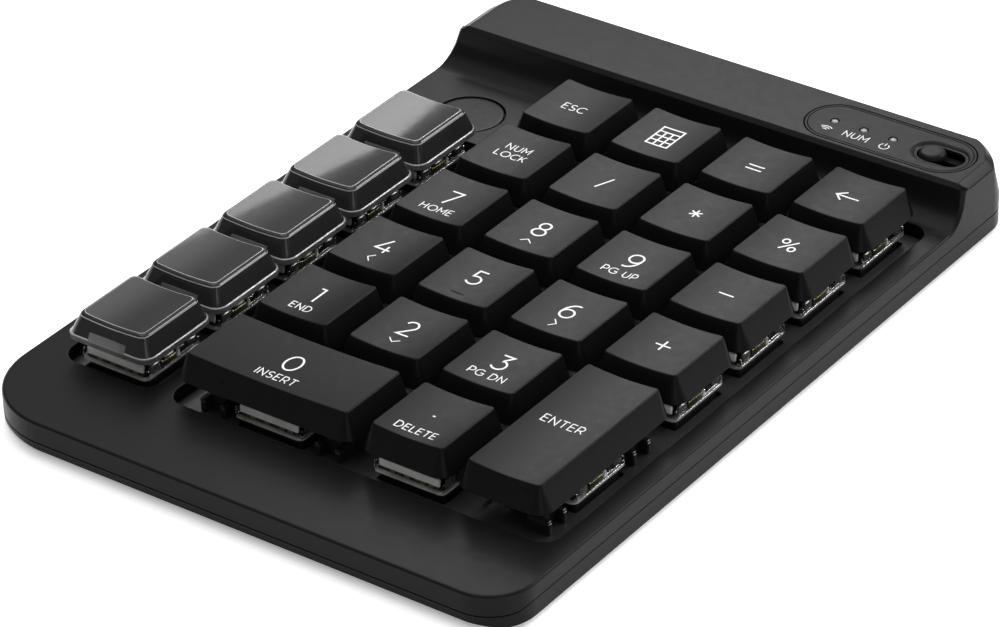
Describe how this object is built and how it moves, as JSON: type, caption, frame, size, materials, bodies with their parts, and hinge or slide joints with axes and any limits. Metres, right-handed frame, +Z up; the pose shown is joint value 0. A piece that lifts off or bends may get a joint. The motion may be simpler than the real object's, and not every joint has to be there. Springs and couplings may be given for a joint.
{
  "type": "numeric keypad",
  "caption": "Wireless numeric keypad with black mechanical-style keys, a column of clear macro keys, and a raised bar for batteries, indicators and power slider.",
  "frame": {"origin": "on the table plane, under the middle of the case's outline", "axes": "+Z up, +Y from the 0 key towards the raised bar, +X from the clear keys towards the enter key"},
  "size_m": [0.1102, 0.1548, 0.0156],
  "materials": {
    "case_black": "satin black moulded plastic",
    "keycap_black": "satin black keycap with white printed legends",
    "keycap_clear": "clear polished plastic",
    "plate_grey": "dark grey plate with clear switch housings",
    "board_green": "printed circuit board",
    "panel_black": "smooth black",
    "light_pipe": "milky light pipe",
    "steel": "plated steel",
    "rubber": "matt rubber",
    "cell_wrap": "plain printed sleeve"
  },
  "bodies": {
    "case": {"top_case": "case_black", "bottom_case": "case_black", "switch_plate": "plate_grey", "slide_switch_body": "plate_grey", "circuit_board": "board_green", "indicator_board": "board_green", "control_panel": "panel_black", "badge": "panel_black", "light_pipe_1": "light_pipe", "light_pipe_2": "light_pipe", "light_pipe_3": "light_pipe", "contact_spring": "steel", "contact_plate": "steel", "screw_front_left": "steel", "screw_front_right": "steel", "screw_rear_left": "steel", "screw_rear_right": "steel", "foot_front_left": "rubber", "foot_front_right": "rubber", "foot_rear_left": "rubber", "foot_rear_right": "rubber", "cell_1": "cell_wrap", "cell_2": "cell_wrap"},
    "battery_door": {"battery_door": "case_black"},
    "power_slider": {"power_slider": "panel_black"},
    "stabiliser_wire_0": {"stabiliser_wire_0": "steel"},
    "stabiliser_wire_enter": {"stabiliser_wire_enter": "steel"},
    "key_escape": {"key_escape": "keycap_black"},
    "key_calculator": {"key_calculator": "keycap_black"},
    "key_equals": {"key_equals": "keycap_black"},
    "key_backspace": {"key_backspace": "keycap_black"},
    "key_num_lock": {"key_num_lock": "keycap_black"},
    "key_divide": {"key_divide": "keycap_black"},
    "key_multiply": {"key_multiply": "keycap_black"},
    "key_percent": {"key_percent": "keycap_black"},
    "key_7": {"key_7": "keycap_black"},
    "key_8": {"key_8": "keycap_black"},
    "key_9": {"key_9": "keycap_black"},
    "key_minus": {"key_minus": "keycap_black"},
    "key_4": {"key_4": "keycap_black"},
    "key_5": {"key_5": "keycap_black"},
    "key_6": {"key_6": "keycap_black"},
    "key_plus": {"key_plus": "keycap_black"},
    "key_1": {"key_1": "keycap_black"},
    "key_2": {"key_2": "keycap_black"},
    "key_3": {"key_3": "keycap_black"},
    "key_enter": {"key_enter": "keycap_black"},
    "key_0": {"key_0": "keycap_black"},
    "key_decimal": {"key_decimal": "keycap_black"},
    "key_macro_1": {"key_macro_1": "keycap_clear"},
    "key_macro_2": {"key_macro_2": "keycap_clear"},
    "key_macro_3": {"key_macro_3": "keycap_clear"},
    "key_macro_4": {"key_macro_4": "keycap_clear"},
    "key_macro_5": {"key_macro_5": "keycap_clear"}
  },
  "joints": [
    {"name": "key_escape_press", "type": "slide", "parent": "case", "child": "key_escape", "axis": [0, 0, -1], "range_m": [0, 0.003], "stiffness_N_per_m": 120, "springref_m": -0.003},
    {"name": "key_calculator_press", "type": "slide", "parent": "case", "child": "key_calculator", "axis": [0, 0, -1], "range_m": [0, 0.003], "stiffness_N_per_m": 120, "springref_m": -0.003},
    {"name": "key_equals_press", "type": "slide", "parent": "case", "child": "key_equals", "axis": [0, 0, -1], "range_m": [0, 0.003], "stiffness_N_per_m": 120, "springref_m": -0.003},
    {"name": "key_backspace_press", "type": "slide", "parent": "case", "child": "key_backspace", "axis": [0, 0, -1], "range_m": [0, 0.003], "stiffness_N_per_m": 120, "springref_m": -0.003},
    {"name": "key_num_lock_press", "type": "slide", "parent": "case", "child": "key_num_lock", "axis": [0, 0, -1], "range_m": [0, 0.003], "stiffness_N_per_m": 120, "springref_m": -0.003},
    {"name": "key_divide_press", "type": "slide", "parent": "case", "child": "key_divide", "axis": [0, 0, -1], "range_m": [0, 0.003], "stiffness_N_per_m": 120, "springref_m": -0.003},
    {"name": "key_multiply_press", "type": "slide", "parent": "case", "child": "key_multiply", "axis": [0, 0, -1], "range_m": [0, 0.003], "stiffness_N_per_m": 120, "springref_m": -0.003},
    {"name": "key_percent_press", "type": "slide", "parent": "case", "child": "key_percent", "axis": [0, 0, -1], "range_m": [0, 0.003], "stiffness_N_per_m": 120, "springref_m": -0.003},
    {"name": "key_7_press", "type": "slide", "parent": "case", "child": "key_7", "axis": [0, 0, -1], "range_m": [0, 0.003], "stiffness_N_per_m": 120, "springref_m": -0.003},
    {"name": "key_8_press", "type": "slide", "parent": "case", "child": "key_8", "axis": [0, 0, -1], "range_m": [0, 0.003], "stiffness_N_per_m": 120, "springref_m": -0.003},
    {"name": "key_9_press", "type": "slide", "parent": "case", "child": "key_9", "axis": [0, 0, -1], "range_m": [0, 0.003], "stiffness_N_per_m": 120, "springref_m": -0.003},
    {"name": "key_minus_press", "type": "slide", "parent": "case", "child": "key_minus", "axis": [0, 0, -1], "range_m": [0, 0.003], "stiffness_N_per_m": 120, "springref_m": -0.003},
    {"name": "key_4_press", "type": "slide", "parent": "case", "child": "key_4", "axis": [0, 0, -1], "range_m": [0, 0.003], "stiffness_N_per_m": 120, "springref_m": -0.003},
    {"name": "key_5_press", "type": "slide", "parent": "case", "child": "key_5", "axis": [0, 0, -1], "range_m": [0, 0.003], "stiffness_N_per_m": 120, "springref_m": -0.003},
    {"name": "key_6_press", "type": "slide", "parent": "case", "child": "key_6", "axis": [0, 0, -1], "range_m": [0, 0.003], "stiffness_N_per_m": 120, "springref_m": -0.003},
    {"name": "key_plus_press", "type": "slide", "parent": "case", "child": "key_plus", "axis": [0, 0, -1], "range_m": [0, 0.003], "stiffness_N_per_m": 120, "springref_m": -0.003},
    {"name": "key_1_press", "type": "slide", "parent": "case", "child": "key_1", "axis": [0, 0, -1], "range_m": [0, 0.003], "stiffness_N_per_m": 120, "springref_m": -0.003},
    {"name": "key_2_press", "type": "slide", "parent": "case", "child": "key_2", "axis": [0, 0, -1], "range_m": [0, 0.003], "stiffness_N_per_m": 120, "springref_m": -0.003},
    {"name": "key_3_press", "type": "slide", "parent": "case", "child": "key_3", "axis": [0, 0, -1], "range_m": [0, 0.003], "stiffness_N_per_m": 120, "springref_m": -0.003},
    {"name": "key_enter_press", "type": "slide", "parent": "case", "child": "key_enter", "axis": [0, 0, -1], "range_m": [0, 0.003], "stiffness_N_per_m": 160, "springref_m": -0.003},
    {"name": "key_0_press", "type": "slide", "parent": "case", "child": "key_0", "axis": [0, 0, -1], "range_m": [0, 0.003], "stiffness_N_per_m": 160, "springref_m": -0.003},
    {"name": "key_decimal_press", "type": "slide", "parent": "case", "child": "key_decimal", "axis": [0, 0, -1], "range_m": [0, 0.003], "stiffness_N_per_m": 120, "springref_m": -0.003},
    {"name": "key_macro_1_press", "type": "slide", "parent": "case", "child": "key_macro_1", "axis": [0, 0, -1], "range_m": [0, 0.003], "stiffness_N_per_m": 120, "springref_m": -0.003},
    {"name": "key_macro_2_press", "type": "slide", "parent": "case", "child": "key_macro_2", "axis": [0, 0, -1], "range_m": [0, 0.003], "stiffness_N_per_m": 120, "springref_m": -0.003},
    {"name": "key_macro_3_press", "type": "slide", "parent": "case", "child": "key_macro_3", "axis": [0, 0, -1], "range_m": [0, 0.003], "stiffness_N_per_m": 120, "springref_m": -0.003},
    {"name": "key_macro_4_press", "type": "slide", "parent": "case", "child": "key_macro_4", "axis": [0, 0, -1], "range_m": [0, 0.003], "stiffness_N_per_m": 120, "springref_m": -0.003},
    {"name": "key_macro_5_press", "type": "slide", "parent": "case", "child": "key_macro_5", "axis": [0, 0, -1], "range_m": [0, 0.003], "stiffness_N_per_m": 120, "springref_m": -0.003},
    {"name": "stabiliser_0_turn", "type": "hinge", "parent": "case", "child": "stabiliser_wire_0", "pos_m": [-0.00713, -0.0417, 0.0073], "axis": [1, 0, 0], "range_deg": [0, 22]},
    {"name": "stabiliser_enter_turn", "type": "hinge", "parent": "case", "child": "stabiliser_wire_enter", "pos_m": [0.0327, -0.03997, 0.0073], "axis": [0, 1, 0], "range_deg": [0, 22]},
    {"name": "power_slide", "type": "slide", "parent": "case", "child": "power_slider", "axis": [1, 0, 0], "range_m": [0, 0.0036]},
    {"name": "battery_door_slide", "type": "slide", "parent": "case", "child": "battery_door", "axis": [0, 1, 0], "range_m": [0, 0.016]}
  ],
  "couplings": [
    {"joint": "stabiliser_0_turn", "follows": "key_0_press", "rad_per_m": 120.4},
    {"joint": "stabiliser_enter_turn", "follows": "key_enter_press", "rad_per_m": 120.4}
  ]
}
